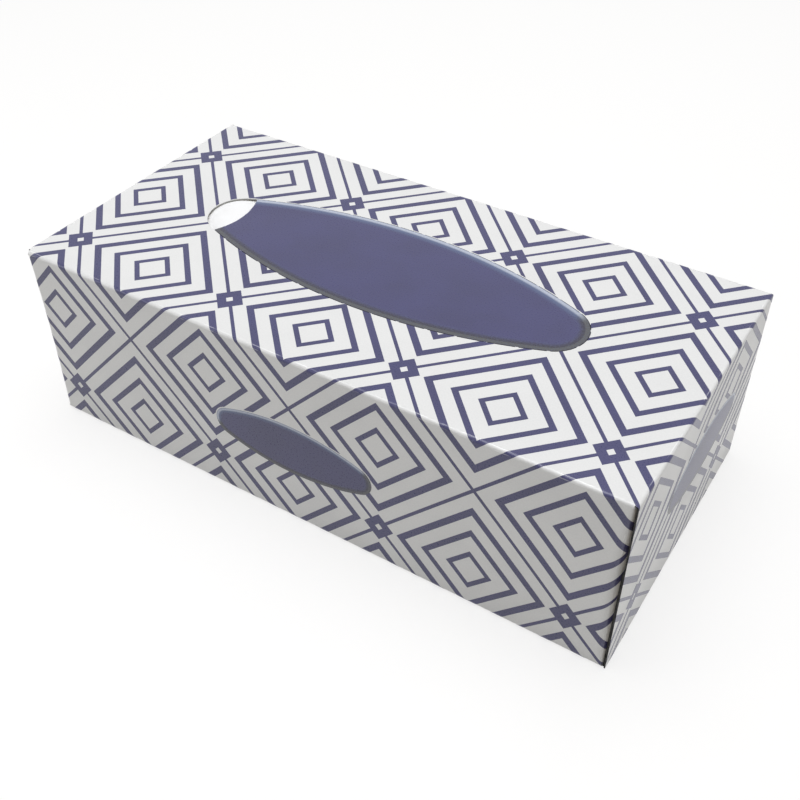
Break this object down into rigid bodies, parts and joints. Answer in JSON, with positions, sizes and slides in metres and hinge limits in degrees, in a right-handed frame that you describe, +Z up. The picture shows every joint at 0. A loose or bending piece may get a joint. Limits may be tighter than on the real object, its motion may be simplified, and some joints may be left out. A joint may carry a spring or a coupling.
{
  "type": "tissue box",
  "caption": "Long folded board box of tissues with a navy diamond lattice print, an oval tear-out top and an open thumb hole.",
  "frame": {"origin": "middle of the box's footprint, on the plane that it stands on", "axes": "+X along the length with the thumb hole at -X, +Y towards the back, +Z up"},
  "size_m": [0.231, 0.115, 0.073],
  "materials": {
    "board": "white coated carton board, faint fibre relief, satin",
    "tissue": "soft creped white paper",
    "glue": "set hot-melt glue, dull",
    "navy_ink": "flat navy offset ink on board, satin",
    "pale_ink": "pale blue grey offset ink on board, satin"
  },
  "bodies": {
    "root": {"carton": "board", "tissue_stack": "tissue", "seam_glue": "glue", "right_end_glue": "glue", "left_end_glue": "glue", "print_top": "navy_ink", "print_front": "navy_ink", "print_back": "navy_ink", "print_right_end": "navy_ink", "print_left_end": "navy_ink", "oval_fields": "navy_ink", "pale_rims": "pale_ink"}
  },
  "joints": []
}
